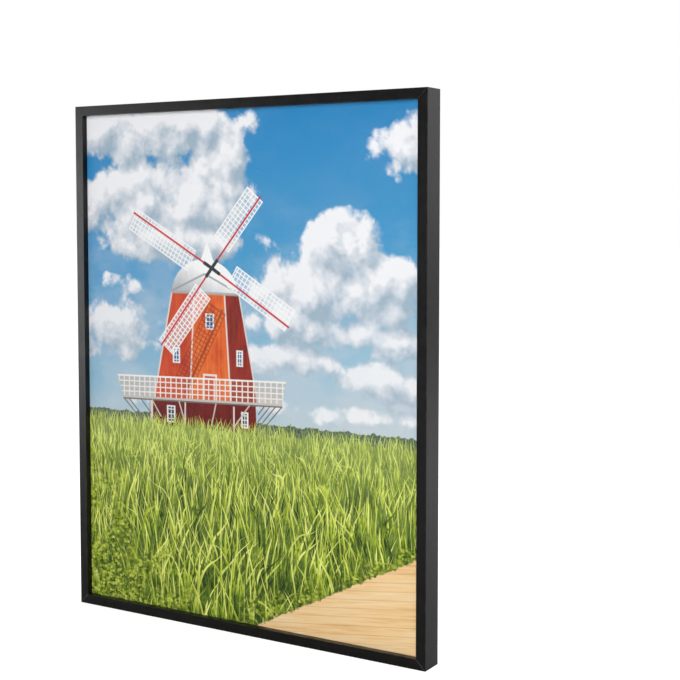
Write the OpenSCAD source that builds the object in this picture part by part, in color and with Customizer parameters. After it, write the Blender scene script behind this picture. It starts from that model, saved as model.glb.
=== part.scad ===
// Top-loading poster frame panel: four mitred aluminium rails round a poster, with a top rail
// whose face and top swing up together so that the sheets slide in from above.
// +Z is up, the front faces -Y, X runs across, and the origin is the middle of the underside.

/* [Sheets] */
// Width of the poster, the cover sheet and the backing board
sheet_w = 558.8; // [400:0.1:700]
// Height of the poster, the cover sheet and the backing board
sheet_h = 711.2; // [600:0.1:1000]
// Thickness of the clear cover sheet
cover_t = 1; // [0.5:0.1:1.2]
// Thickness of the printed poster
poster_t = 0.3; // [0.2:0.1:0.4]
// Thickness of the backing board
backing_t = 3; // [2:0.1:3]
// Gap from the outer face of a stile to the edge of the sheets
side_inset = 5.6; // [5.2:0.1:6]
// Height of the rib in the bottom rail that the sheets stand on
rib_top = 5; // [4:0.1:5]
// Drop from the top of the frame to the top edge of the sheets
top_drop = 5.8; // [5.2:0.1:6]

/* [Rails] */
// Width of each rail seen from the front
face_w = 13.5; // [13.5:0.1:18]
// Depth of the frame from front to back
depth = 34; // [34:0.5:40]
// Wall thickness of the extrusions
wall = 1.5; // [1.3:0.1:1.5]
// Depth from the front face to the slot that holds the sheets
recess = 9; // [8:0.5:9]
// Cut along the outer edges of the rails
edge = 0.5; // [0.2:0.1:0.8]

/* [Lid] */
// Angle to which the lid is drawn open
lid_angle = 0; // [0:1:112]
// Depth of the lip that turns in at the bottom of the lid's face
lid_lip = 6.5; // [5:0.5:7]
// How far the lip stops short of each mitre
lip_relief = 3; // [1:0.5:6]
// Gap along the lid's mitres
lid_gap = 0.3; // [0.25:0.05:0.5]

/* [Back] */
// Thickness of the back panel
panel_t = 1.5; // [1:0.1:1.5]
// Distance between the mounting inserts of one stile
insert_pitch = 500; // [300:10:500]

/* [Hidden] */
$fn = 48;

width = sheet_w + 2 * side_inset;
height = rib_top + sheet_h + top_drop;
half_w = width / 2;
fit = 0.2;
bite = 0.02;

// Depths behind the front face, in the order in which they lie
slot_back = recess + 5;
box_front = slot_back + wall;
rear_wall = depth - 3;
box_back = rear_wall - wall;
panel_back = rear_wall + panel_t;
cover_front = recess + fit;
poster_front = cover_front + cover_t;
backing_front = poster_front + poster_t;

// Hinge: z is measured down from the top of the frame, and angles go up from the rear
bead_r = 2;
pivot_y = 21;
pivot_z = -bead_r - 0.1;
socket_r = bead_r + 0.05;
socket_outer = socket_r + 1.45;
socket_rear_end = 29;
socket_front_end = 176;
neck_angle = 160;
neck_t = 1;
bead_half = half_w - face_w + 0.5;
plug_len = 6;
socket_end = 6.5;

// Fixed part of the top rail
shelf_top = pivot_z - socket_outer + 0.1;
shelf_bottom = shelf_top - wall;
riser_front = pivot_y + socket_outer;
rear_end_z = pivot_z + socket_outer * sin(socket_rear_end);
front_wall_top = -4.4;
lid_tail = 17.9;

// Toe of the lid, which rides over the leaf springs
toe_front = 16.2;
toe_back = 17.2;
toe_bottom = -4.6;
spring_len = 60;
spring_pitch = 180;
spring_t = 0.3;
spring_r = 2.6;
spring_z = -4.2;

// Corner keys and their set screws
key_leg = 50;
face_key_leg = 42;
key_low = wall + fit;
key_high = face_w - wall - fit;
top_key_low = height - key_high;
top_key_high = height + shelf_bottom - fit;
top_key_line = (top_key_low + top_key_high) / 2;
set_screw_at = 28;
set_screw_r = 1.5;
set_screw_len = 12;

// Fixings of the back
fixing_line = face_w / 2;
fixing_x = half_w - fixing_line;
panel_screw_r = 1.7;
panel_screw_len = 6;
head_r = 3.2;
insert_r = 3.5;
insert_bore_r = 2.5;
insert_len = 12;
flange_r = 5;
flange_t = 1;
stile_screw_span = height - 150;
rail_screw_span = 400;
stile_screws = [for (i = [0:4]) (height - stile_screw_span) / 2 + i * stile_screw_span / 4];
rail_screws = [for (i = [0:3]) -rail_screw_span / 2 + i * rail_screw_span / 3];
panel_screw_spots = concat(
  [for (s = [-1, 1], z = stile_screws) [s * fixing_x, z]],
  [for (x = rail_screws, z = [fixing_line, top_key_line]) [x, z]]
);
insert_heights = [for (s = [-1, 1]) (height + s * insert_pitch) / 2];
insert_spots = [for (s = [-1, 1], z = insert_heights) [s * fixing_x, z]];
set_screw_spots = [for (s = [-1, 1], p = [
  [half_w - set_screw_at, fixing_line], [fixing_x, set_screw_at],
  [half_w - set_screw_at, top_key_line], [fixing_x, height - set_screw_at]
]) [s * p[0], p[1]]];

rail_colour = "#2b2b2d";
steel_colour = "silver";

// ---- Helpers ----

// Point at radius r and angle a round the hinge, as [depth, height from the top]
function round_hinge(r, a) = [pivot_y + r * cos(a), pivot_z + r * sin(a)];

// Rectangle from corner p to corner q
module rect(p, q) translate(p) square(q - p);

// Block between two depths, from corner p to corner q in X and Z
module slab(p, q, front, back) translate([p[0], front - depth / 2, p[1]])
  cube([q[0] - p[0], back - front, q[1] - p[1]]);

// Round bar or hole along Y at spot [x, z], between two depths
module rod(spot, r, front, back) translate([spot[0], front - depth / 2, spot[1]]) rotate([-90, 0, 0])
  cylinder(h = back - front, r = r);

// Drills a row of spots through the rear walls
module rear_holes(spots, r, back) for (s = spots) rod(s, r, box_back - 1, back);

// Runs a section of depth and height along X from -half to half, at height z
module along_x(half, z) translate([-half, -depth / 2, z]) rotate([90, 0, 90])
  linear_extrude(2 * half) children();

// Prism through the whole depth, from its outline in X and Z
module through(outline) translate([0, depth / 2, 0]) rotate([90, 0, 0])
  linear_extrude(depth) polygon(outline);

module left_side() mirror([1, 0, 0]) children();

// ---- Sections ----

// Stiles and bottom rail: x is the depth, y the distance in from the outer face
module rail_section() difference() {
  polygon([[edge, 0], [depth - edge, 0], [depth, edge], [depth, face_w], [0, face_w], [0, edge]]);
  rect([wall, wall], [recess - wall, face_w - wall]);
  rect([recess, wall], [slot_back, rib_top - wall]);
  rect([recess, rib_top], [slot_back, face_w + 1]);
  rect([box_front, wall], [box_back, face_w - wall]);
  rect([rear_wall, wall], [depth + 1, face_w + 1]);
}

// Fixed part of the top rail: x is the depth, y is 0 at the top and negative below
module base_section() difference() {
  union() {
    difference() {
      polygon([
        [slot_back, -face_w], [rear_wall, -face_w], [rear_wall, -wall], [depth, -wall],
        [depth, -edge], [depth - edge, 0], [riser_front, 0], [riser_front, rear_end_z],
        [pivot_y, rear_end_z], [pivot_y, shelf_top], [box_front, shelf_top],
        [box_front, front_wall_top], [slot_back, front_wall_top]
      ]);
      polygon([
        [box_front, wall - face_w], [box_back, wall - face_w], [box_back, -wall],
        [riser_front + wall, -wall], [riser_front + wall, shelf_bottom], [box_front, shelf_bottom]
      ]);
    }
    translate([pivot_y, pivot_z]) circle(socket_outer);
  }
  translate([pivot_y, pivot_z]) circle(socket_r);
  polygon([
    [pivot_y, pivot_z], round_hinge(socket_outer + 0.02, socket_rear_end),
    round_hinge(6, 75), round_hinge(6, 120), round_hinge(6, socket_front_end)
  ]);
}

// Face and top of the lid, which run into the mitres
module lid_section() polygon([
  [0, -face_w], [0, -edge], [edge, 0], [lid_tail, 0],
  round_hinge(bead_r + 0.6, neck_angle - 12), round_hinge(bead_r + 1.2, neck_angle + 9),
  [wall, -wall], [wall, -face_w]
]);

// Bead, neck and toe of the lid, which stop short of the mitres
module lid_hinge_section() {
  translate([pivot_y, pivot_z]) circle(bead_r);
  translate([pivot_y, pivot_z]) rotate(neck_angle) translate([0, -neck_t / 2]) square([bead_r + 1.3, neck_t]);
  rect([toe_front, toe_bottom], [toe_back, -wall / 2]);
}

// ---- Rails ----

module stile() difference() {
  intersection() {
    translate([half_w, -depth / 2, 0]) rotate([0, 0, 90]) linear_extrude(height) rail_section();
    through([[half_w, 0], [half_w, height], [half_w - face_w, height - face_w], [half_w - face_w, face_w]]);
  }
  rear_holes([for (z = stile_screws) [fixing_x, z]], panel_screw_r + bite, depth);
  rear_holes([for (z = insert_heights) [fixing_x, z]], insert_r + bite, depth);
  rear_holes([for (z = [set_screw_at, height - set_screw_at]) [fixing_x, z]], set_screw_r + 0.5, depth);
}

module left_stile() color(rail_colour) left_side() stile();

module right_stile() color(rail_colour) stile();

// Holes in the rear wall of the bottom rail or of the fixed top rail, on the line at height z
module rail_holes(z) {
  rear_holes([for (x = rail_screws) [x, z]], panel_screw_r + bite, rear_wall + 1);
  rear_holes([for (s = [-1, 1]) [s * (half_w - set_screw_at), z]], set_screw_r + 0.5, rear_wall + 1);
}

module bottom_rail() color(rail_colour) difference() {
  intersection() {
    along_x(half_w, 0) rail_section();
    through([[-half_w, 0], [half_w, 0], [half_w - face_w, face_w], [face_w - half_w, face_w]]);
  }
  rail_holes(fixing_line);
}

// Space above the two top mitres, pulled in by gap at each end
module top_wedge(gap) through([
  [gap - half_w, height], [half_w - gap, height],
  [half_w - face_w - gap, height - face_w], [gap + face_w - half_w, height - face_w]
]);

module top_rail_base() color(rail_colour) difference() {
  intersection() {
    along_x(half_w, height) base_section();
    top_wedge(0);
  }
  rail_holes(top_key_line);
  socket_cut();
  left_side() socket_cut();
}

// Ends the socket and its shelf before the mitre would leave loose pieces of them
module socket_cut() slab([half_w - socket_end, height - socket_end], [half_w + 1, height + 1],
  slot_back - 1, riser_front);

// Swings its children open by lid_angle about the bead
module swung() translate([0, pivot_y - depth / 2, height + pivot_z]) rotate([-lid_angle, 0, 0])
  translate([0, depth / 2 - pivot_y, -height - pivot_z]) children();

module top_lid() color(rail_colour) swung() {
  intersection() {
    along_x(half_w, height) lid_section();
    top_wedge(lid_gap * sqrt(2));
  }
  along_x(half_w - face_w - lip_relief, height) rect([0, -face_w], [lid_lip, wall - face_w]);
  along_x(bead_half, height) lid_hinge_section();
}

// ---- Sheets and back ----

module sheet(front, t) slab([-sheet_w / 2, rib_top], [sheet_w / 2, rib_top + sheet_h], front, front + t);

module cover_sheet() color("white", 0.25) sheet(cover_front, cover_t);

module poster() color("skyblue") sheet(poster_front, poster_t);

module backing_board() color("whitesmoke") sheet(backing_front, backing_t);

module back_panel() color("#38383a") difference() {
  slab([key_low - half_w, key_low], [half_w - key_low, height - key_low], rear_wall, panel_back);
  rear_holes(panel_screw_spots, panel_screw_r + fit, depth);
  rear_holes(insert_spots, insert_r + bite, depth);
}

// Pan-head screw with a cross recess, lying along Y with its head towards +Y
module panel_screw() difference() {
  union() {
    rotate([-90, 0, 0]) cylinder(h = 0.7, r = head_r);
    translate([0, 0.7, 0]) rotate([-90, 0, 0]) cylinder(h = 0.6, r1 = head_r, r2 = head_r - 0.9);
    rotate([90, 0, 0]) cylinder(h = panel_screw_len - 1, r = panel_screw_r);
    translate([0, 1 - panel_screw_len, 0]) rotate([90, 0, 0]) cylinder(h = 1, r1 = panel_screw_r, r2 = 0.6);
  }
  for (turn = [0, 90]) rotate([0, turn, 0]) translate([-1.8, 0.6, -0.4]) cube([3.6, 1, 0.8]);
}

module back_panel_screws() color("dimgray")
  for (s = panel_screw_spots) translate([s[0], panel_back - depth / 2, s[1]]) panel_screw();

// Threaded insert with a flange on the back panel and a bore right through
module mounting_inserts() color(steel_colour) for (s = insert_spots) difference() {
  union() {
    rod(s, insert_r, panel_back - insert_len, panel_back);
    rod(s, flange_r, panel_back, panel_back + flange_t);
  }
  rod(s, insert_bore_r, panel_back - insert_len - 1, depth + 1);
}

// ---- Corner keys ----

// L-shaped key on the right: a leg in the stile from z0 to z1 and a leg in the rail from z2 to z3
module key(z0, z1, z2, z3, leg, front, back) {
  slab([half_w - key_high, z0], [half_w - key_low, z1], front, back);
  slab([half_w - leg, z2], [half_w - key_low, z3], front, back);
}

module bottom_key() difference() {
  key(key_low, key_leg, key_low, key_high, key_leg, box_front + fit, box_back - fit);
  key_threads();
}

module top_key() difference() {
  key(height - key_leg, top_key_high, top_key_low, top_key_high, key_leg, box_front + fit, box_back - fit);
  key_threads();
}

module key_threads() for (s = set_screw_spots) rod(s, set_screw_r + bite, 0, depth);

module face_key() key(key_low, face_key_leg, key_low, key_high, face_key_leg, key_low, recess - key_low);

module corner_key_bottom_left() color("gray") left_side() bottom_key();

module corner_key_bottom_right() color("gray") bottom_key();

module corner_key_top_left() color("gray") left_side() top_key();

module corner_key_top_right() color("gray") top_key();

module face_key_left() color("gray") left_side() face_key();

module face_key_right() color("gray") face_key();

// Set screws jammed against the front wall of the rear chamber, with a hexagon socket behind
module corner_set_screws() color(steel_colour) for (s = set_screw_spots) difference() {
  rod(s, set_screw_r, box_front, box_front + set_screw_len);
  rod(s, 0.9, box_front + set_screw_len - 1.8, depth, $fn = 6);
}

// ---- Hinge hardware ----

// Bowed strip between the front wall and the lid's toe, centred on x
module snap_spring(x) color(steel_colour) translate([x, 0, 0]) along_x(spring_len / 2, height)
  intersection() {
    translate([toe_front - 0.05 - spring_r, spring_z]) difference() {
      circle(spring_r);
      circle(spring_r - spring_t);
    }
    rect([box_front, shelf_top], [toe_front, 0]);
  }

module snap_spring_left() snap_spring(-spring_pitch);

module snap_spring_centre() snap_spring(0);

module snap_spring_right() snap_spring(spring_pitch);

// Plug pressed into the end of the socket, just past the end of the bead
module hinge_plug() translate([bead_half + fit, pivot_y - depth / 2, height + pivot_z])
  rotate([0, 90, 0]) cylinder(h = plug_len, r = socket_r);

module hinge_plug_left() color("gray") left_side() hinge_plug();

module hinge_plug_right() color("gray") hinge_plug();

left_stile();
right_stile();
bottom_rail();
top_rail_base();
top_lid();
cover_sheet();
poster();
backing_board();
back_panel();
back_panel_screws();
corner_key_bottom_left();
corner_key_bottom_right();
corner_key_top_left();
corner_key_top_right();
face_key_left();
face_key_right();
corner_set_screws();
snap_spring_left();
snap_spring_centre();
snap_spring_right();
hinge_plug_left();
hinge_plug_right();
mounting_inserts();
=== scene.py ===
"""Looks for a slim black poster frame with a flip-up top rail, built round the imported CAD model.

Everything is in metres in the CAD frame: X across, the picture faces -Y, +Z is up.
Every finish is a node material. So is the printed picture, which has a thin sheet of its own.
"""

import math

import bpy
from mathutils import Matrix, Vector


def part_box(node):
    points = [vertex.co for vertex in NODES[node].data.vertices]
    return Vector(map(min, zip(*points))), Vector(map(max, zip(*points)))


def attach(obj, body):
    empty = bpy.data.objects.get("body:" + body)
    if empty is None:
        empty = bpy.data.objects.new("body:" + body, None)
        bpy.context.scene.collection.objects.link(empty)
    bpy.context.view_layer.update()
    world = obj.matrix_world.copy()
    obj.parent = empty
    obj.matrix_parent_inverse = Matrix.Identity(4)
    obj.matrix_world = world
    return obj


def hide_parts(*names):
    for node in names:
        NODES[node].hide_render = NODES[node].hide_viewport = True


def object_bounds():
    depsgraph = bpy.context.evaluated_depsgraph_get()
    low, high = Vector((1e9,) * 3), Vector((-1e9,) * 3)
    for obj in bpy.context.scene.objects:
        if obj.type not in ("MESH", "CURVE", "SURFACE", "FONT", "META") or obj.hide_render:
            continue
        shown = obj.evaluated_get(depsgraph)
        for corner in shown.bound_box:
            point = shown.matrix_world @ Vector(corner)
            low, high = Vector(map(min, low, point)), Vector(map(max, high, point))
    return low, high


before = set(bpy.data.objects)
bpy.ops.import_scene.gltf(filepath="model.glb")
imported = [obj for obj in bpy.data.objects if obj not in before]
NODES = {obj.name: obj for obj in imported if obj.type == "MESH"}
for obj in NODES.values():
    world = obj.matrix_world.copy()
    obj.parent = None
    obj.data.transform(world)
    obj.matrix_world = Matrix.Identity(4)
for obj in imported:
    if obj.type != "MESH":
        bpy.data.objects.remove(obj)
CAD_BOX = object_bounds()
MM = 0.001

# The paper, in mm
PRINT_MARGIN = 4.0  # bare paper round the print
PRINT_GAP = 0.03  # between the paper and the sheets on either side of it
PRINT_CORNER = 0.6  # cut off each corner of the paper

PAPER_LOW, PAPER_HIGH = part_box("poster")
HALF_SHEET = PAPER_HIGH.x / MM
SHEET_HEIGHT = (PAPER_HIGH.z - PAPER_LOW.z) / MM

# Places on the print, in mm: x from its middle, v up from its lower edge
HORIZON = 277.0
TOWER_FOOT = 262.0
GALLERY_FLOOR = 306.0
EAVES = 456.0
SAIL_HUB = (-50.0, 490.0)
SAIL_ARMS = ((50, 126), (151, 156), (231, 141), (329, 147))  # direction in degrees, length
SAIL_START = 34.0  # from the hub to the cloth
PATH_START = (16.0, 6.0)  # where the path's far edge begins
PATH_SLOPE = 0.5
PLANK_PITCH = 11.5

# The grass, in rows that close up towards the horizon
EYE_LEVEL = HORIZON + 46.0
ROWS_PER_FOLD = 7.8  # rows while the distance grows e times
ROWS_BEHIND = (0.0, 1.0, 2.0, 3.0, 4.0)  # how many rows further off a layer is
BLADE_LAYERS = ((11.0, 0.22), (23.0, -0.26), (47.0, 0.02))  # seed and lean of each

# The rails
FACE_WIDTH = 13.5  # mm of black face round the picture
RAIL_DEEP = (0.0024, 0.0023, 0.0024, 1)
RAIL_LIGHT = (0.0056, 0.0052, 0.0052, 1)
RAIL_RUBBED = (0.032, 0.031, 0.030, 1)
RAIL_BARE = (0.16, 0.155, 0.15, 1)
WHITE = (1, 1, 1, 1)

# The studio, in metres
CAMERA_PLACE = (1.0374, -1.4488, 0.5673)
CAMERA_LENS = 70.07  # mm
CAMERA_SHIFT = -0.065  # of the picture's width
CAMERA_DOWN = 3.5  # degrees below level
CAMERA_TURN = 31.48  # degrees about the vertical
MIDDLE = (0.0, 0.0, 0.36)  # of the object, where most lights aim


# ---------------------------------------------------------------- number patterns

class Num:
    """A number that varies over a surface, held as a node socket so that patterns read as sums."""

    def __init__(self, tree, socket):
        self.tree = tree
        self.socket = socket

    def op(self, operation, *others):
        return math_node(self.tree, operation, self, *others)

    def __add__(self, other):
        return self.op("ADD", other)

    def __radd__(self, other):
        return self.op("ADD", other)

    def __sub__(self, other):
        return self.op("SUBTRACT", other)

    def __rsub__(self, other):
        return math_node(self.tree, "SUBTRACT", other, self)

    def __mul__(self, other):
        return self.op("MULTIPLY", other)

    def __rmul__(self, other):
        return self.op("MULTIPLY", other)

    def __truediv__(self, other):
        return self.op("DIVIDE", other)

    def __abs__(self):
        return self.op("ABSOLUTE")

    def __pow__(self, other):
        return self.op("POWER", other)


def plug(tree, socket, value):
    """Links a Num or a socket, or sets a plain value."""
    if isinstance(value, Num):
        tree.links.new(value.socket, socket)
    elif isinstance(value, bpy.types.NodeSocket):
        tree.links.new(value, socket)
    else:
        socket.default_value = value


def math_node(tree, operation, *values):
    node = tree.nodes.new("ShaderNodeMath")
    node.operation = operation
    for socket, value in zip(node.inputs, values):
        plug(tree, socket, value)
    return Num(tree, node.outputs[0])


def least(first, *others):
    for other in others:
        first = first.op("MINIMUM", other)
    return first


def most(first, *others):
    for other in others:
        first = first.op("MAXIMUM", other)
    return first


def ramp(value, low, high, out_low=0.0, out_high=1.0, smooth=False):
    """Goes from out_low at low to out_high at high, and stays there beyond."""
    tree = value.tree
    node = tree.nodes.new("ShaderNodeMapRange")
    node.interpolation_type = "SMOOTHSTEP" if smooth else "LINEAR"
    for socket, number in zip(node.inputs, (value, low, high, out_low, out_high)):
        plug(tree, socket, number)
    return Num(tree, node.outputs[0])


def vector(tree, x, y, z):
    """Three numbers as one vector socket."""
    node = tree.nodes.new("ShaderNodeCombineXYZ")
    for socket, value in zip(node.inputs, (x, y, z)):
        plug(tree, socket, value)
    return node.outputs[0]


def noise(tree, place, scale=1.0, detail=2.0, rough=0.5, warp=0.0):
    node = tree.nodes.new("ShaderNodeTexNoise")
    tree.links.new(place, node.inputs["Vector"])
    node.inputs["Scale"].default_value = scale
    node.inputs["Detail"].default_value = detail
    node.inputs["Roughness"].default_value = rough
    node.inputs["Distortion"].default_value = warp
    return Num(tree, node.outputs["Fac"])


def cells(tree, place, scale=1.0, detail=0.0, smooth=0.0):
    """Distance to the nearest of many scattered points."""
    node = tree.nodes.new("ShaderNodeTexVoronoi")
    node.feature = "SMOOTH_F1" if smooth else "F1"
    tree.links.new(place, node.inputs["Vector"])
    node.inputs["Scale"].default_value = scale
    node.inputs["Detail"].default_value = detail
    if smooth:
        node.inputs["Smoothness"].default_value = smooth
    return Num(tree, node.outputs["Distance"])


def dice(tree, x, y, seed):
    """Three random numbers for each whole-number place."""
    node = tree.nodes.new("ShaderNodeTexWhiteNoise")
    node.noise_dimensions = "3D"
    tree.links.new(vector(tree, x, y, seed), node.inputs["Vector"])
    parts = tree.nodes.new("ShaderNodeSeparateColor")
    tree.links.new(node.outputs["Color"], parts.inputs[0])
    return [Num(tree, s) for s in parts.outputs]


def linear(red, green, blue):
    """A screen colour, 0 to 255, as the linear colour that a shader takes."""
    def one(c):
        c /= 255.0
        return c / 12.92 if c <= 0.04045 else ((c + 0.055) / 1.055) ** 2.4
    return (one(red), one(green), one(blue), 1.0)


def blend_colours(tree, under, over, amount):
    """Lays one colour over another, opaque where amount is 1."""
    node = tree.nodes.new("ShaderNodeMix")
    node.data_type = "RGBA"
    plug(tree, node.inputs["Factor"], amount)
    plug(tree, node.inputs[6], under)
    plug(tree, node.inputs[7], over)
    return node.outputs[2]


def colour_ramp(value, *stops):
    """Colours along a number: stops are (place, screen colour)."""
    tree = value.tree
    node = tree.nodes.new("ShaderNodeValToRGB")
    tree.links.new(value.socket, node.inputs[0])
    elements = node.color_ramp.elements
    while len(elements) < len(stops):
        elements.new(0.5)
    for element, (place, colour) in zip(elements, stops):
        element.position = place
        element.color = linear(*colour)
    return node.outputs[0]


def new_group(name, inputs, outputs):
    """A node group with number sockets. Returns the tree and its inputs as Nums."""
    tree = bpy.data.node_groups.new(name, "ShaderNodeTree")
    for label in inputs:
        tree.interface.new_socket(label, in_out="INPUT", socket_type="NodeSocketFloat")
    for label in outputs:
        tree.interface.new_socket(label, in_out="OUTPUT", socket_type="NodeSocketFloat")
    source = tree.nodes.new("NodeGroupInput")
    return tree, [Num(tree, source.outputs[label]) for label in inputs]


def close_group(tree, results):
    sink = tree.nodes.new("NodeGroupOutput")
    for socket, value in zip(sink.inputs, results):
        plug(tree, socket, value)


def use_group(tree, group, *values):
    node = tree.nodes.new("ShaderNodeGroup")
    node.node_tree = group
    for socket, value in zip(node.inputs, values):
        plug(tree, socket, value)
    return [Num(tree, s) for s in node.outputs]


def new_material(name):
    """An empty node material with a Principled shader. Returns material, tree and shader."""
    material = bpy.data.materials.new(name)
    material.use_nodes = True
    tree = material.node_tree
    shader = tree.nodes["Principled BSDF"]
    return material, tree, shader


def surface_place(tree, scale):
    """The CAD frame's place in metres, times one number or one for each axis."""
    coords = tree.nodes.new("ShaderNodeTexCoord")
    mapping = tree.nodes.new("ShaderNodeMapping")
    mapping.inputs["Scale"].default_value = scale if isinstance(scale, tuple) else (scale,) * 3
    tree.links.new(coords.outputs["Object"], mapping.inputs["Vector"])
    return mapping.outputs[0]


def place_numbers(tree):
    """The CAD frame's x, y and z in millimetres."""
    parts = tree.nodes.new("ShaderNodeSeparateXYZ")
    tree.links.new(surface_place(tree, 1000.0), parts.inputs[0])
    return [Num(tree, s) for s in parts.outputs]


def bump(tree, shader, height, strength, distance):
    """Fine relief. distance is its depth in metres."""
    node = tree.nodes.new("ShaderNodeBump")
    node.inputs["Strength"].default_value = strength
    node.inputs["Distance"].default_value = distance
    plug(tree, node.inputs["Height"], height)
    tree.links.new(node.outputs[0], shader.inputs["Normal"])


# ---------------------------------------------------------------- the printed picture

def cloud_group():
    """How thick the cloud is at a place in the sky, above 0 inside a cloud."""
    tree, (x, v) = new_group("cloud_thickness", ("x", "v"), ("thickness",))
    heaps = (  # middle x and v, half width, half height, thickness at the middle
        (-170, 676, 200, 46, 1.0), (-40, 640, 62, 50, 1.0), (-180, 585, 150, 66, 1.0),
        (-75, 585, 110, 74, 1.0), (-110, 530, 150, 44, 1.0), (150, 520, 74, 50, 1.0),
        (118, 462, 105, 56, 1.0), (215, 472, 74, 60, 1.0), (292, 646, 120, 56, 0.62),
        (218, 348, 86, 36, 0.8), (160, 410, 80, 30, 0.7), (90, 420, 95, 34, 0.8),
        (-220, 400, 115, 54, 0.7), (60, 372, 120, 34, 0.6), (240, 400, 72, 30, 0.8),
        (-190, 466, 80, 30, 0.36), (190, 306, 110, 22, 0.7), (-60, 310, 200, 26, 0.7),
    )
    inside = None
    for cx, cv, rx, rv, peak in heaps:
        across = (x - cx) / rx
        up = (v - cv) / rv
        heap = peak - (across * across + up * up)
        inside = heap if inside is None else inside.op("SMOOTH_MAX", heap, 0.35)
    place = vector(tree, x, v, 0.0)
    big_puffs = cells(tree, place, scale=1 / 46, smooth=0.3)
    small_puffs = cells(tree, place, scale=1 / 17, smooth=0.3)
    wisps = noise(tree, place, scale=1 / 46, detail=8.0, rough=0.66, warp=0.4)
    crumbs = cells(tree, place, scale=1 / 7, smooth=0.2)
    usual = 0.42  # a middling distance, so that puffs swell the cloud as much as they shrink it
    puffs = (usual - big_puffs) * 0.72 + (usual - small_puffs) * 0.30 + (usual - crumbs) * 0.12
    thickness = most(inside, -1.2) * 0.86 + puffs + (wisps - 0.5) * 1.15
    close_group(tree, [thickness])
    return tree


def paint_sky(tree, x, v):
    """Blue that deepens upwards, haze, and clouds lit from the upper left."""
    base = colour_ramp(
        v / SHEET_HEIGHT - x * 0.00022,
        (0.36, (196, 212, 219)),
        (0.50, (156, 196, 218)),
        (0.68, (78, 160, 208)),
        (0.96, (38, 138, 198)),
    )
    deep = ramp(x, -40, HALF_SHEET, 0, 0.5) * ramp(v, 470, 700)
    base = blend_colours(tree, base, linear(26, 126, 188), deep)
    group = cloud_group()
    here, = use_group(tree, group, x, v)
    toward_light, = use_group(tree, group, x - 13.0, v + 19.0)
    lit = ramp(here - toward_light, -0.42, 0.30)
    body = colour_ramp(
        lit,
        (0.0, (166, 186, 202)),
        (0.35, (196, 208, 219)),
        (0.68, (226, 230, 236)),
        (1.0, (250, 250, 252)),
    )
    cover = ramp(here, -0.06, 0.28, smooth=True)
    haze = noise(tree, vector(tree, x * 0.6, v, 40.0), scale=1 / 70, detail=5.0, rough=0.6)
    haze = ramp(haze, 0.42, 0.70) * ramp(v, 590, 340, 0.05, 0.7)
    base = blend_colours(tree, base, linear(212, 219, 226), haze)
    return blend_colours(tree, base, body, cover * ramp(v, 330, 500, 0.84, 0.97))


def paint_trees(tree, under, x, v):
    """A far line of trees along the horizon."""
    rough_top = noise(tree, vector(tree, x, 0.0, 3.0), scale=1 / 9, detail=4.0, rough=0.6)
    top = HORIZON + 1.0 + rough_top * 12.0
    leaves = noise(tree, vector(tree, x, v, 8.0), scale=1 / 3, detail=2.0)
    tone = colour_ramp(leaves, (0.3, (62, 82, 70)), (0.75, (118, 136, 108)))
    return blend_colours(tree, under, tone, ramp(top - v, 0.0, 1.0))


def wall_between(x, v, low, high, left, right):
    """1 between two leaning edges. left and right are (x at low, x at high)."""
    rise = (v - low) / (high - low)
    left_edge = left[0] + (left[1] - left[0]) * rise
    right_edge = right[0] + (right[1] - right[0]) * rise
    inside = least(x - left_edge, right_edge - x, v - low, high - v)
    return ramp(inside, -0.3, 0.3)


def stroke(x, v, start, end, width):
    """1 on a straight line of that width."""
    dx = end[0] - start[0]
    dv = end[1] - start[1]
    length = math.hypot(dx, dv)
    ux = dx / length
    uv = dv / length
    along = (x - start[0]) * ux + (v - start[1]) * uv
    across = (v - start[1]) * ux - (x - start[0]) * uv
    inside = least(width / 2 - abs(across), along, length - along)
    return ramp(inside, -0.3, 0.3)


def bars(value, pitch, width):
    """1 on evenly spaced lines."""
    spread = value.op("PINGPONG", pitch / 2)
    return ramp(width / 2 - spread, -0.25, 0.25)


def paint_window(tree, under, x, v, window):
    """A white sash two panes wide and three tall."""
    cx, cv, wide, tall, glass_tone = window

    def area(inset):
        left = cx - wide / 2 + inset
        right = cx + wide / 2 - inset
        low = cv - tall / 2 + inset
        high = cv + tall / 2 - inset
        return wall_between(x, v, low, high, (left, left), (right, right))

    bar = 1.2
    edge = 2
    grid = most(bars(x - cx, (wide - 2 * edge) / 2, bar), bars(v - cv, (tall - 2 * edge) / 3, bar))
    under = blend_colours(tree, under, linear(244, 244, 240), area(0))
    return blend_colours(tree, under, linear(*glass_tone), area(edge) * (1.0 - grid))


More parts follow.
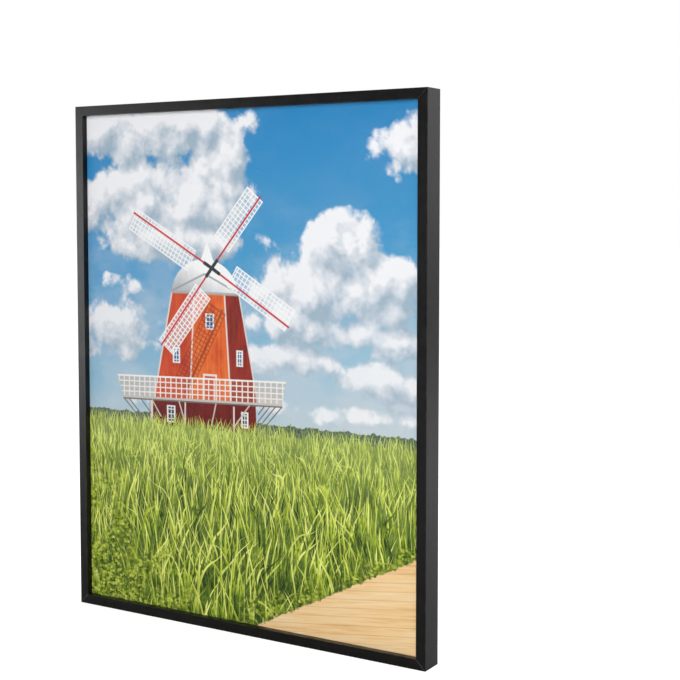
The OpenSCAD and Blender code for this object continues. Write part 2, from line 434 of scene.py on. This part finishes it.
def paint_tower(tree, under, x, v):
    """Planked faces that catch more or less sun, with white trims, windows and a door."""
    planks = noise(tree, vector(tree, x * 0.9, v * 0.06, 0.0), scale=1 / 3, detail=3.0)
    stains = noise(tree, vector(tree, x, v * 0.5, 5.0), scale=1 / 26, detail=4.0, rough=0.6)
    worn = planks * 0.45 + stains * 0.75 - 0.1
    sunny = colour_ramp(worn, (0.28, (186, 62, 28)), (0.5, (232, 104, 42)), (0.76, (248, 144, 64)))
    warm = colour_ramp(worn, (0.25, (160, 44, 28)), (0.5, (204, 70, 36)), (0.8, (228, 98, 50)))
    shady = colour_ramp(worn, (0.25, (104, 28, 22)), (0.5, (150, 44, 30)), (0.8, (178, 60, 40)))
    dark = colour_ramp(worn, (0.25, (78, 14, 12)), (0.5, (112, 24, 18)), (0.8, (138, 36, 26)))
    floor = GALLERY_FLOOR
    faces = (
        (dark, TOWER_FOOT, floor + 1, (-161, -160), (24, 22)),
        (warm, floor, EAVES, (-152, -119), (-88, -80)),
        (sunny, floor, EAVES, (-90, -81), (-19, -29)),
        (shady, floor, EAVES, (-19, -29), (26, -5)),
    )
    for tone, low, high, left, right in faces:
        under = blend_colours(tree, under, tone, wall_between(x, v, low, high, left, right))
    under_floor = floor - 3
    trims = (
        ((-152, floor), (-119, EAVES), 2.6), ((-89, floor), (-80.5, EAVES), 2.6),
        ((-19, floor), (-29, EAVES), 2.6), ((26, floor), (-5, EAVES), 2.0),
        ((-98, TOWER_FOOT), (-97, under_floor), 2.6), ((-14, TOWER_FOOT), (-14, under_floor), 2.6),
        ((-157, TOWER_FOOT), (-157, under_floor), 5.0),
    )
    for start, end, width in trims:
        under = blend_colours(tree, under, linear(238, 226, 218), stroke(x, v, start, end, width) * 0.9)
    sky_glass = (36, 100, 152)
    dim_glass = (74, 74, 86)
    windows = (
        (-54, 417, 15, 22, sky_glass), (-112, 368, 13, 22, sky_glass), (-4, 369, 11, 22, sky_glass),
        (-122, 285, 15, 24, dim_glass), (4, 286, 12, 22, dim_glass),
    )
    for window in windows:
        under = paint_window(tree, under, x, v, window)
    door = wall_between(x, v, floor, 345, (-66, -66), (-42, -42))
    panel = wall_between(x, v, floor, 342, (-63, -63), (-45, -45))
    under = blend_colours(tree, under, linear(240, 228, 220), door)
    return blend_colours(tree, under, linear(214, 84, 44), panel)


def paint_cap(tree, under, x, v):
    """The white dome on the tower, with its spike and the grey edge of its eaves."""
    middle = -63.0
    foot = 452.0
    across = (x - middle) / 57.0
    up = (v - foot) / 50.0
    dome = least((1.0 - (across * across + up * up)) * 30.0, v - (EAVES - 1))
    spike = least((526.0 - v) * 0.42 - abs(x + 58.0), v - 470.0)
    inside = most(dome, spike)
    folds = noise(tree, vector(tree, x, v * 0.3, 2.0), scale=1 / 9, detail=2.0)
    light = ramp(x * 0.4 + v + folds * 14.0, 428, 466)
    tone = blend_colours(tree, linear(186, 190, 196), linear(252, 252, 252), light)
    under = blend_colours(tree, under, tone, ramp(inside, -0.3, 0.4))
    eaves = stroke(x, v, (-120, 457), (-62, 482), 3.0)
    eaves = most(eaves, stroke(x, v, (-62, 482), (-6, 457), 3.0))
    under = blend_colours(tree, under, linear(150, 152, 156), eaves * 0.75)
    sill = stroke(x, v, (-120, EAVES), (-6, EAVES - 1), 4.0)
    return blend_colours(tree, under, linear(176, 172, 168), sill * 0.8)


def sail_group():
    """One sail seen from its hub. Gives the cloth, the white lattice and the spar."""
    names = ("x", "v", "ux", "uv", "length")
    tree, (x, v, ux, uv, length) = new_group("sail", names, ("cloth", "lattice", "spar"))
    along = x * ux + v * uv
    across = v * ux - x * uv
    narrow_side = 8.0
    inside = least(along - SAIL_START, length - 3.0 - along, across + narrow_side, 25.0 - across)
    cloth = ramp(inside, -0.2, 0.4)
    border = ramp(1.6 - inside, -0.3, 0.3)
    lattice = most(bars(along, 6.4, 1.5), bars(across + narrow_side, 6.6, 1.5), border)
    spar = ramp(least(1.35 - abs(across), along, length - along), -0.3, 0.3)
    close_group(tree, [cloth, cloth * lattice, spar])
    return tree


def paint_shadow(tree, under, x, v, group):
    """The shadow that one sail throws up the tower's near faces."""
    start = (-112.0, 290.0)
    turn = math.radians(61)
    length = 165.0
    dx = x - start[0]
    dv = v - start[1]
    parts = use_group(tree, group, dx, dv, math.cos(turn), math.sin(turn), length)
    lattice, spar = parts[1:]
    tower = wall_between(x, v, 314, EAVES, (-150, -119), (24, -5))
    return blend_colours(tree, under, linear(112, 30, 22), most(lattice * 0.55, spar * 0.7) * tower)


def paint_sails(tree, under, x, v, group):
    """Four sails, then the dark stubs that join them at the hub."""
    hub_x, hub_v = SAIL_HUB
    dx = x - hub_x
    dv = v - hub_v
    for degrees, length in SAIL_ARMS:
        turn = math.radians(degrees)
        parts = use_group(tree, group, dx, dv, math.cos(turn), math.sin(turn), float(length))
        cloth, lattice, spar = parts
        under = blend_colours(tree, under, linear(246, 247, 250), cloth * 0.34)
        under = blend_colours(tree, under, linear(254, 254, 254), lattice)
        under = blend_colours(tree, under, linear(206, 40, 48), spar)
    near_hub = ramp(dx * dx + dv * dv, 230, 300, 1, 0)
    stub = 16
    for degrees, length in SAIL_ARMS:
        turn = math.radians(degrees)
        end = (hub_x + stub * math.cos(turn), hub_v + stub * math.sin(turn))
        arm = stroke(x, v, SAIL_HUB, end, 5.0) * near_hub
        under = blend_colours(tree, under, linear(52, 54, 58), arm)
    return under


def paint_gallery(tree, under, x, v):
    """The railed walk round the tower and the struts that carry it."""
    tilt = 0.026
    v = v - (x + 70.0) * tilt - 1.6
    deck = wall_between(x, v, 305, 336, (-208, -219), (64, 71))
    middle = ramp(86.0 - abs(x + 64.0), -1, 1)
    haze = blend_colours(tree, linear(196, 190, 182), linear(226, 150, 120), middle)
    grid = most(bars(x, 9.4, 1.9), bars(v - 306.0, 7.5, 1.7))
    under = blend_colours(tree, under, haze, deck * ramp(middle, 0, 1, 0.72, 0.15))
    under = blend_colours(tree, under, linear(246, 240, 234), deck * grid)
    white = (248, 246, 242)
    pale = (206, 200, 192)
    shade = (122, 116, 112)
    lines = (
        ((-219, 336), (71, 336), 2.4, white), ((-209, 305.5), (65, 305.5), 3.4, pale),
        ((-209, 303.2), (65, 303.2), 2.0, shade),
        ((-207, 303), (-168, 266), 1.8, shade), ((-198, 303), (-160, 266), 1.8, shade),
        ((-176, 303), (-158, 284), 1.8, shade),
        ((-156, 303), (-140, 280), 2.0, pale), ((-108, 303), (-98, 274), 2.0, pale),
        ((-44, 303), (-52, 272), 2.0, pale), ((12, 303), (-14, 272), 2.0, pale),
        ((64, 303), (24, 262), 1.8, shade), ((54, 303), (25, 272), 1.8, shade),
        ((45, 303), (25, 281), 1.8, shade), ((36, 303), (26, 291), 1.8, shade),
    )
    for start, end, width, tone in lines:
        under = blend_colours(tree, under, linear(*tone), stroke(x, v, start, end, width))
    return under


def blade_group():
    """A row of grass blades. Gives where a blade is, how light it is and how near the row is."""
    names = ("x", "v", "back", "seed", "lean")
    tree, (x, v, back, seed, lean) = new_group("grass_row", names, ("mask", "light", "near"))
    # Rows are evenly spaced in the logarithm of nearness. size is 1 for the nearest row.
    depth = most((EYE_LEVEL - v) / EYE_LEVEL, 0.1)
    row = (depth.op("LOGARITHM", math.e) * -ROWS_PER_FOLD).op("FLOOR") - back
    size = (row / -ROWS_PER_FOLD).op("EXPONENT")
    root = EYE_LEVEL - size * EYE_LEVEL
    wide = (size ** 0.55) * 10.5
    tall = (size ** 0.82) * 104.0
    # Each blade bends more towards its tip, by a sway that it shares with those beside it.
    rise = v - root
    sway = noise(tree, vector(tree, x / (wide * 11.0), row * 3.7, seed), scale=1.0, detail=1.5)
    part = rise / tall
    slope = (sway - 0.5) * 2.3 + lean
    bent = x - slope * rise * (part * 0.55 + 0.6)
    # One blade to a cell. grown is 0 at its root and 1 at its tip, bow is across it.
    place = bent / wide + row * 0.37 + seed
    cell = place.op("FLOOR")
    pick = dice(tree, cell, row, seed)
    pick2 = dice(tree, cell, row, seed + 31.0)
    grown = part / (pick[0] * 0.55 + 0.5)
    offset = place - cell - (pick[1] * 0.4 + 0.3)
    bow = offset - (pick[2] - 0.5) * grown * 0.5
    half = most(1.0 - grown, 0.0) ** 0.55 * (pick2[0] * 0.26 + 0.07)
    near_enough = ramp(HORIZON - 9.0 - root, 0.0, 1.0)
    mask = ramp(half - abs(bow), 0.0, 0.06) * ramp(grown, 0.02, 0.22) * near_enough
    fold = ramp(bow, -0.08, 0.08, 0.0, 0.16)
    light = pick2[1] * 0.86 + grown * 0.52 + fold - 0.36
    close_group(tree, [mask, light, size])
    return tree


def paint_grass(tree, under, x, v):
    """Ground and rows of blades, which get smaller and paler towards the horizon."""
    group = blade_group()
    clumps = noise(tree, vector(tree, x, v * 1.6, 4.0), scale=1 / 60, detail=4.0, rough=0.6)
    speckle = noise(tree, vector(tree, x, v * 0.6, 1.0), scale=1 / 3.4, detail=4.0, rough=0.7)
    far = ramp(v, 60, 265)
    shift = (clumps - 0.5) * 0.9 + ramp(x, -220, 240, 0.05, -0.08) + far * 0.05
    ground = colour_ramp(
        speckle * 0.8 + clumps * 0.4 - 0.1,
        (0.28, (26, 44, 6)),
        (0.5, (70, 96, 18)),
        (0.74, (146, 168, 54)),
    )
    ground = blend_colours(tree, ground, linear(158, 178, 98), far * 0.55)
    ragged = noise(tree, vector(tree, x, 0.0, 12.0), scale=1 / 3, detail=2.0)
    soil = HORIZON - 10.0 + ragged * 6.0
    under = blend_colours(tree, under, ground, ramp(soil - v, 0.0, 3.0))
    for back in ROWS_BEHIND:
        for seed, lean in BLADE_LAYERS:
            mask, light, near = use_group(tree, group, x, v, back, seed, lean)
            blade = colour_ramp(
                light + shift,
                (0.0, (36, 60, 8)),
                (0.26, (94, 124, 20)),
                (0.52, (176, 196, 50)),
                (0.85, (244, 250, 132)),
            )
            blade = blend_colours(tree, blade, linear(196, 214, 122), ramp(near, 0.5, 0.14, 0.0, 0.5))
            under = blend_colours(tree, under, blade, mask)
    return under


def paint_weeds(tree, under, x, v):
    """Small round leaves in the near left of the field and beside the path."""
    place = vector(tree, x, v * 1.3, 0.0)
    spots = tree.nodes.new("ShaderNodeTexVoronoi")
    tree.links.new(place, spots.inputs["Vector"])
    spots.inputs["Scale"].default_value = 1 / 4.6
    parts = tree.nodes.new("ShaderNodeSeparateColor")
    tree.links.new(spots.outputs["Color"], parts.inputs[0])
    light = Num(tree, parts.outputs[0]) * 0.9 - Num(tree, spots.outputs["Distance"]) * 0.3
    leaf = colour_ramp(
        light,
        (0.0, (54, 80, 8)),
        (0.25, (110, 136, 20)),
        (0.5, (168, 188, 46)),
        (0.8, (226, 232, 104)),
    )
    spread = noise(tree, vector(tree, x, v, 21.0), scale=1 / 52, detail=5.0, rough=0.65)
    corner = ramp(x + v * 1.1, -190, 110, 0.16, -0.28)
    beside_path = ramp(v - (x - PATH_START[0]) * PATH_SLOPE, 10, 80, 0.14, -0.28)
    corner = most(corner, beside_path)
    return blend_colours(tree, under, leaf, ramp(spread + corner - 0.5, 0.0, 0.12) * 0.8)


def paint_boardwalk(tree, under, x, v):
    """A plank path across the lower right corner."""
    edge = (x - PATH_START[0]) * PATH_SLOPE + PATH_START[1]
    ragged = noise(tree, vector(tree, x, v, 6.0), scale=1 / 8, detail=4.0, rough=0.7)
    inside = edge - v + (ragged - 0.5) * 16.0
    turned = v - x * 0.12
    grain = noise(tree, vector(tree, x * 0.05, turned, 0.0), scale=1 / 3.2, detail=5.0, rough=0.6)
    broad = noise(tree, vector(tree, x * 0.1, turned, 9.0), scale=1 / 16, detail=2.0)
    wood = colour_ramp(
        grain * 0.7 + broad * 0.5 - 0.1,
        (0.3, (236, 184, 122)),
        (0.5, (254, 214, 155)),
        (0.72, (255, 232, 190)),
    )
    gaps = bars(turned, PLANK_PITCH, 1.0)
    wood = blend_colours(tree, wood, linear(176, 126, 76), gaps * 0.3)
    under = blend_colours(tree, under, linear(66, 82, 36), ramp(inside, -7.0, 2.0) * 0.5)
    return blend_colours(tree, under, wood, ramp(inside, 0.0, 2.0))


def poster_material():
    """Paper with the picture printed on its front, up to a bare margin."""
    material, tree, shader = new_material("poster_print")
    x, depth, z = place_numbers(tree)
    v = z - PAPER_LOW.z / MM
    picture = paint_sky(tree, x, v)
    picture = paint_trees(tree, picture, x, v)
    picture = paint_tower(tree, picture, x, v)
    sail = sail_group()
    picture = paint_shadow(tree, picture, x, v, sail)
    picture = paint_gallery(tree, picture, x, v)
    picture = paint_cap(tree, picture, x, v)
    picture = paint_sails(tree, picture, x, v, sail)
    picture = paint_grass(tree, picture, x, v)
    picture = paint_weeds(tree, picture, x, v)
    picture = paint_boardwalk(tree, picture, x, v)
    half = HALF_SHEET - PRINT_MARGIN
    top = SHEET_HEIGHT - PRINT_MARGIN
    on_print = ramp(least(half - abs(x), v - PRINT_MARGIN, top - v), 0.0, 0.2)
    behind_face = depth - PAPER_LOW.y / MM
    front = ramp(behind_face, 0.08, 0.10, 1.0, 0.0)
    paper = linear(244, 243, 240)
    plug(tree, shader.inputs["Base Color"], blend_colours(tree, paper, picture, on_print * front))
    fibres = noise(tree, surface_place(tree, 1800), detail=3.0)
    plug(tree, shader.inputs["Roughness"], ramp(fibres, 0.3, 0.7, 0.52, 0.62))
    shader.inputs["Specular IOR Level"].default_value = 0.1
    bump(tree, shader, fibres, 0.02, 0.00005)
    return material


# ---------------------------------------------------------------- metal, board and plastic

def from_outer_edge(x, z):
    """How far a place is inside the frame's outline, seen from the front, in mm."""
    low, high = CAD_BOX
    return least(high.x / MM - abs(x), z - low.z / MM, high.z / MM - z)


def seam_mask(x, y, z):
    """1 on the bare cut edges along the 45 degree corner seams of the front."""
    low, high = CAD_BOX
    from_side = high.x / MM - abs(x)
    from_end = least(z - low.z / MM, high.z / MM - z)
    away = abs(from_side - from_end) * math.sqrt(0.5)
    return ramp(away, 0.08, 0.3, 1.0, 0.0) * ramp(y, low.y / MM + 3.0, low.y / MM + 4.0, 1.0, 0.0)


def arris_mask(x, y, z):
    """1 along the rails' long edges, where handling rubs the coat."""
    low, high = CAD_BOX
    inside = from_outer_edge(x, z)
    front = y - low.y / MM
    outer = most(inside, front)
    back = most(inside, high.y / MM - y)
    inner = most(FACE_WIDTH - inside, front)
    return ramp(least(outer, back, inner), 0.45, 0.85, 1.0, 0.0)


def rail_material(name, along_x):
    """Black satin coated aluminium extrusion with faint die lines along its length."""
    material, tree, shader = new_material(name)
    x, y, z = place_numbers(tree)
    if along_x:
        lines_place = surface_place(tree, (5.0, 1300.0, 1300.0))
    else:
        lines_place = surface_place(tree, (1300.0, 1300.0, 5.0))
    die_lines = noise(tree, lines_place, detail=3.0, rough=0.65)
    mottling = noise(tree, surface_place(tree, 70.0), detail=5.0, rough=0.6)
    skin = noise(tree, surface_place(tree, 2600.0), detail=1.0)
    depth = ramp(mottling * 0.6 + die_lines * 0.4, 0.36, 0.64)
    coat = blend_colours(tree, RAIL_DEEP, RAIL_LIGHT, depth)
    rubbed = arris_mask(x, y, z) * ramp(mottling, 0.42, 0.62)
    coat = blend_colours(tree, coat, RAIL_RUBBED, rubbed * 0.55)
    colour = blend_colours(tree, coat, RAIL_BARE, seam_mask(x, y, z) * 0.8)
    plug(tree, shader.inputs["Base Color"], colour)
    gloss = ramp(die_lines * 0.6 + mottling * 0.4, 0.34, 0.66, 0.27, 0.41)
    plug(tree, shader.inputs["Roughness"], gloss + rubbed * 0.06)
    shader.inputs["Specular IOR Level"].default_value = 0.26
    bump(tree, shader, die_lines * 0.7 + skin * 0.3, 0.22, 0.00008)
    return material


def backing_material():
    """White foamed board with a fine closed-cell skin."""
    material, tree, shader = new_material("backing_white")
    cells_fine = cells(tree, surface_place(tree, 1600), detail=1.0)
    cloud = noise(tree, surface_place(tree, 14), detail=3.0)
    tone = blend_colours(tree, linear(232, 231, 227), linear(243, 243, 240), ramp(cloud, 0.3, 0.7))
    plug(tree, shader.inputs["Base Color"], tone)
    plug(tree, shader.inputs["Roughness"], ramp(cells_fine, 0.1, 0.7, 0.5, 0.68))
    bump(tree, shader, cells_fine, 0.15, 0.0001)
    return material


def cover_material():
    """Clear non-glare sheet. Its alpha is low, so the print behind it stays bright."""
    material, tree, shader = new_material("clear_cover")
    shader.inputs["Base Color"].default_value = (0.12, 0.13, 0.14, 1)
    shader.inputs["Alpha"].default_value = 0.04
    matt = noise(tree, surface_place(tree, 2600), detail=2.0)
    plug(tree, shader.inputs["Roughness"], ramp(matt, 0.3, 0.7, 0.26, 0.36))
    bump(tree, shader, matt, 0.01, 0.00005)
    return material


def panel_material():
    """Black moulded sheet with a pebbled grain."""
    material, tree, shader = new_material("panel_black")
    pebbles = cells(tree, surface_place(tree, 900), smooth=0.5)
    cloud = noise(tree, surface_place(tree, 18), detail=4.0)
    dark = (0.014, 0.014, 0.0145, 1)
    light = (0.019, 0.019, 0.0195, 1)
    plug(tree, shader.inputs["Base Color"], blend_colours(tree, dark, light, ramp(cloud, 0.3, 0.7)))
    plug(tree, shader.inputs["Roughness"], ramp(pebbles, 0.1, 0.6, 0.62, 0.48))
    bump(tree, shader, pebbles, 0.5, 0.00012)
    return material


def metal_material(name, dark, light, rough_low, rough_high, grain):
    """Plated or cast metal: dark and light are its colours, grain its pattern's size in mm."""
    material, tree, shader = new_material(name)
    place = surface_place(tree, 1000 / grain)
    spangle = cells(tree, place, detail=2.0)
    haze = noise(tree, surface_place(tree, 160), detail=4.0)
    tone = blend_colours(tree, dark, light, ramp(spangle + haze, 0.5, 1.3))
    plug(tree, shader.inputs["Base Color"], tone)
    plug(tree, shader.inputs["Roughness"], ramp(haze, 0.3, 0.7, rough_low, rough_high))
    shader.inputs["Metallic"].default_value = 1.0
    bump(tree, shader, spangle, 0.12, 0.00006)
    return material


def plug_material():
    """Black injection-moulded end plugs."""
    material, tree, shader = new_material("plug_plastic")
    grain = noise(tree, surface_place(tree, 1400), detail=2.0)
    dark = (0.014, 0.014, 0.015, 1)
    light = (0.022, 0.022, 0.023, 1)
    plug(tree, shader.inputs["Base Color"], blend_colours(tree, dark, light, ramp(grain, 0.3, 0.7)))
    plug(tree, shader.inputs["Roughness"], ramp(grain, 0.3, 0.7, 0.4, 0.55))
    bump(tree, shader, grain, 0.2, 0.00006)
    return material


def add_print_sheet():
    """The printed sheet, a hair thinner than its CAD solid, so that it shares no face."""
    low = PAPER_LOW
    high = PAPER_HIGH
    gap = PRINT_GAP * MM
    cut = PRINT_CORNER * MM
    outline = [
        (low.x + cut, low.z), (high.x - cut, low.z), (high.x, low.z + cut), (high.x, high.z - cut),
        (high.x - cut, high.z), (low.x + cut, high.z), (low.x, high.z - cut), (low.x, low.z + cut),
    ]
    count = len(outline)
    front = [(x, low.y + gap, z) for x, z in outline]
    back = [(x, high.y - gap, z) for x, z in outline]
    faces = [tuple(range(count)), tuple(reversed(range(count, 2 * count)))]
    for i in range(count):
        j = (i + 1) % count
        faces.append((i, i + count, j + count, j))
    mesh = bpy.data.meshes.new("print_sheet")
    mesh.from_pydata(front + back, [], faces)
    mesh.update()
    sheet = bpy.data.objects.new("print_sheet", mesh)
    bpy.context.collection.objects.link(sheet)
    mesh.materials.append(poster_material())
    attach(sheet, "frame")
    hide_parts("poster")


def finish_cad_nodes():
    """Gives every CAD solid its finish."""
    stile = rail_material("rail_black_upright", along_x=False)
    rail = rail_material("rail_black_level", along_x=True)
    zinc = metal_material(
        "key_zinc", dark=(0.34, 0.35, 0.36, 1), light=(0.52, 0.53, 0.54, 1),
        rough_low=0.38, rough_high=0.52, grain=0.9,
    )
    plated = metal_material(
        "steel_plated", dark=(0.50, 0.50, 0.49, 1), light=(0.68, 0.68, 0.66, 1),
        rough_low=0.24, rough_high=0.36, grain=0.5,
    )
    spring = metal_material(
        "spring_steel", dark=(0.20, 0.21, 0.23, 1), light=(0.34, 0.35, 0.37, 1),
        rough_low=0.28, rough_high=0.40, grain=1.4,
    )
    black_screw = metal_material(
        "screw_black", dark=(0.020, 0.020, 0.021, 1), light=(0.05, 0.05, 0.052, 1),
        rough_low=0.3, rough_high=0.45, grain=0.4,
    )
    plastic = plug_material()
    finishes = {
        "left_stile": stile, "right_stile": stile,
        "bottom_rail": rail, "top_rail_base": rail, "top_lid": rail,
        "cover_sheet": cover_material(), "backing_board": backing_material(),
        "back_panel": panel_material(), "back_panel_screws": black_screw,
        "corner_key_bottom_left": zinc, "corner_key_bottom_right": zinc,
        "corner_key_top_left": zinc, "corner_key_top_right": zinc,
        "face_key_left": zinc, "face_key_right": zinc,
        "corner_set_screws": plated, "mounting_inserts": plated,
        "snap_spring_left": spring, "snap_spring_centre": spring, "snap_spring_right": spring,
        "hinge_plug_left": plastic, "hinge_plug_right": plastic,
    }
    for name, material in finishes.items():
        slots = NODES[name].data.materials
        slots.clear()
        slots.append(material)


# ---------------------------------------------------------------- studio

def add_floor():
    """A plain pale floor, which looks brighter to the camera than to the object that stands on it."""
    half = 20.0
    corners = [(-half, -half, 0), (half, -half, 0), (half, half, 0), (-half, half, 0)]
    mesh = bpy.data.meshes.new("floor")
    mesh.from_pydata(corners, [], [(0, 1, 2, 3)])
    floor = bpy.data.objects.new("floor", mesh)
    bpy.context.collection.objects.link(floor)
    material, tree, shader = new_material("floor_pale")
    shader.inputs["Base Color"].default_value = (0.42, 0.42, 0.42, 1)
    shader.inputs["Roughness"].default_value = 0.9
    shader.inputs["Specular IOR Level"].default_value = 0.1
    shader.inputs["Emission Color"].default_value = WHITE
    path = tree.nodes.new("ShaderNodeLightPath")
    seen = Num(tree, path.outputs["Is Camera Ray"])
    plug(tree, shader.inputs["Emission Strength"], seen * 0.82)
    mesh.materials.append(material)


def add_softbox(name, place, target, wide, tall, watts):
    """An area light, aimed at a target and unseen by the camera."""
    data = bpy.data.lights.new(name, "AREA")
    data.shape = "RECTANGLE"
    data.size = wide
    data.size_y = tall
    data.energy = watts
    light = bpy.data.objects.new(name, data)
    light.location = place
    aim = [t - p for t, p in zip(target, place)]
    flat = math.hypot(aim[0], aim[1])
    light.rotation_euler = (math.atan2(flat, -aim[2]), 0, math.atan2(-aim[0], aim[1]))
    light.visible_camera = False
    bpy.context.collection.objects.link(light)
    return light


def add_world():
    """White to the camera. The object has it bright behind and dim in front, so black stays black."""
    world = bpy.data.worlds.new("studio")
    bpy.context.scene.world = world
    world.use_nodes = True
    tree = world.node_tree
    tree.nodes.clear()
    coords = tree.nodes.new("ShaderNodeTexCoord")
    parts = tree.nodes.new("ShaderNodeSeparateXYZ")
    tree.links.new(coords.outputs["Generated"], parts.inputs[0])
    behind = Num(tree, parts.outputs[1])
    glow = tree.nodes.new("ShaderNodeBackground")
    plug(tree, glow.inputs["Strength"], ramp(behind, -0.2, 0.45, 0.06, 1.2))
    white = tree.nodes.new("ShaderNodeBackground")
    glow.inputs["Color"].default_value = WHITE
    white.inputs["Color"].default_value = WHITE
    white.inputs["Strength"].default_value = 1.0
    path = tree.nodes.new("ShaderNodeLightPath")
    mix = tree.nodes.new("ShaderNodeMixShader")
    tree.links.new(path.outputs["Is Camera Ray"], mix.inputs[0])
    tree.links.new(glow.outputs[0], mix.inputs[1])
    tree.links.new(white.outputs[0], mix.inputs[2])
    output = tree.nodes.new("ShaderNodeOutputWorld")
    tree.links.new(mix.outputs[0], output.inputs[0])


def add_camera():
    data = bpy.data.cameras.new("camera")
    data.lens = CAMERA_LENS
    data.sensor_width = 36.0
    data.shift_y = CAMERA_SHIFT
    data.clip_start = 0.05
    data.clip_end = 80.0
    camera = bpy.data.objects.new("camera", data)
    camera.location = CAMERA_PLACE
    camera.rotation_euler = (math.radians(90 - CAMERA_DOWN), 0.0, math.radians(CAMERA_TURN))
    bpy.context.collection.objects.link(camera)
    bpy.context.scene.camera = camera


def add_studio():
    add_floor()
    add_world()
    sheen = add_softbox("softbox_left", (-1.87, -1.27, 0.42), MIDDLE, wide=0.9, tall=0.9, watts=20)
    sheen.visible_diffuse = False  # only a sheen on the rails: the stile throws no shade on the print
    add_softbox("softbox_front", (1.0, -2.5, 1.0), MIDDLE, wide=1.6, tall=1.6, watts=70)
    add_softbox("softbox_behind", (1.0, 1.6, 1.4), (1.0, 1.9, 0.0), wide=1.6, tall=1.6, watts=64)
    add_softbox("softbox_top", (0.0, -0.4, 2.8), MIDDLE, wide=2.4, tall=1.6, watts=8)
    bpy.context.scene.view_settings.view_transform = "Standard"


add_camera()
add_studio()
finish_cad_nodes()
add_print_sheet()
